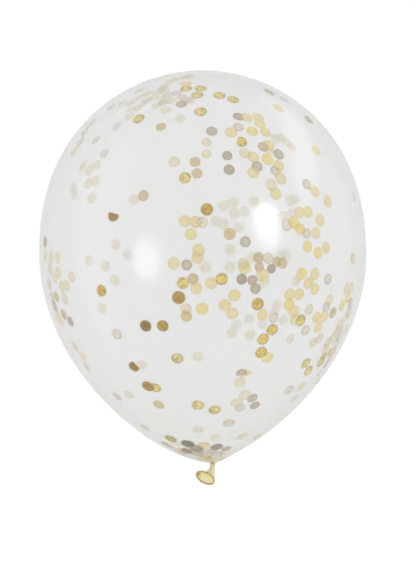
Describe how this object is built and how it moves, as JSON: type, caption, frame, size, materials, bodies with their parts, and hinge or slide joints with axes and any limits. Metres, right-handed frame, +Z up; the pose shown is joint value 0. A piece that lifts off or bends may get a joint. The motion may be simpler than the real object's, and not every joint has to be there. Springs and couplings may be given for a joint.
{
  "type": "confetti balloon",
  "caption": "Clear latex balloon, blown up and pinched shut at a short flared tail with a rolled lip, lying on its side with loose gold paper confetti inside.",
  "frame": {"origin": "centre of the flat spot that the balloon rests on", "axes": "+Z up from the surface it lies on, +Y along the balloon towards its round end, with the neck and tail at -Y, +X to the side that the neck is pulled to"},
  "size_m": [0.3, 0.3807, 0.299],
  "materials": {
    "clear_latex": "gloss",
    "amber_latex": "gloss",
    "gold_confetti": "satin",
    "pale_confetti": "satin",
    "grey_confetti": "satin"
  },
  "bodies": {
    "root": {"balloon_body": "clear_latex", "balloon_tail": "amber_latex"}
  },
  "joints": []
}
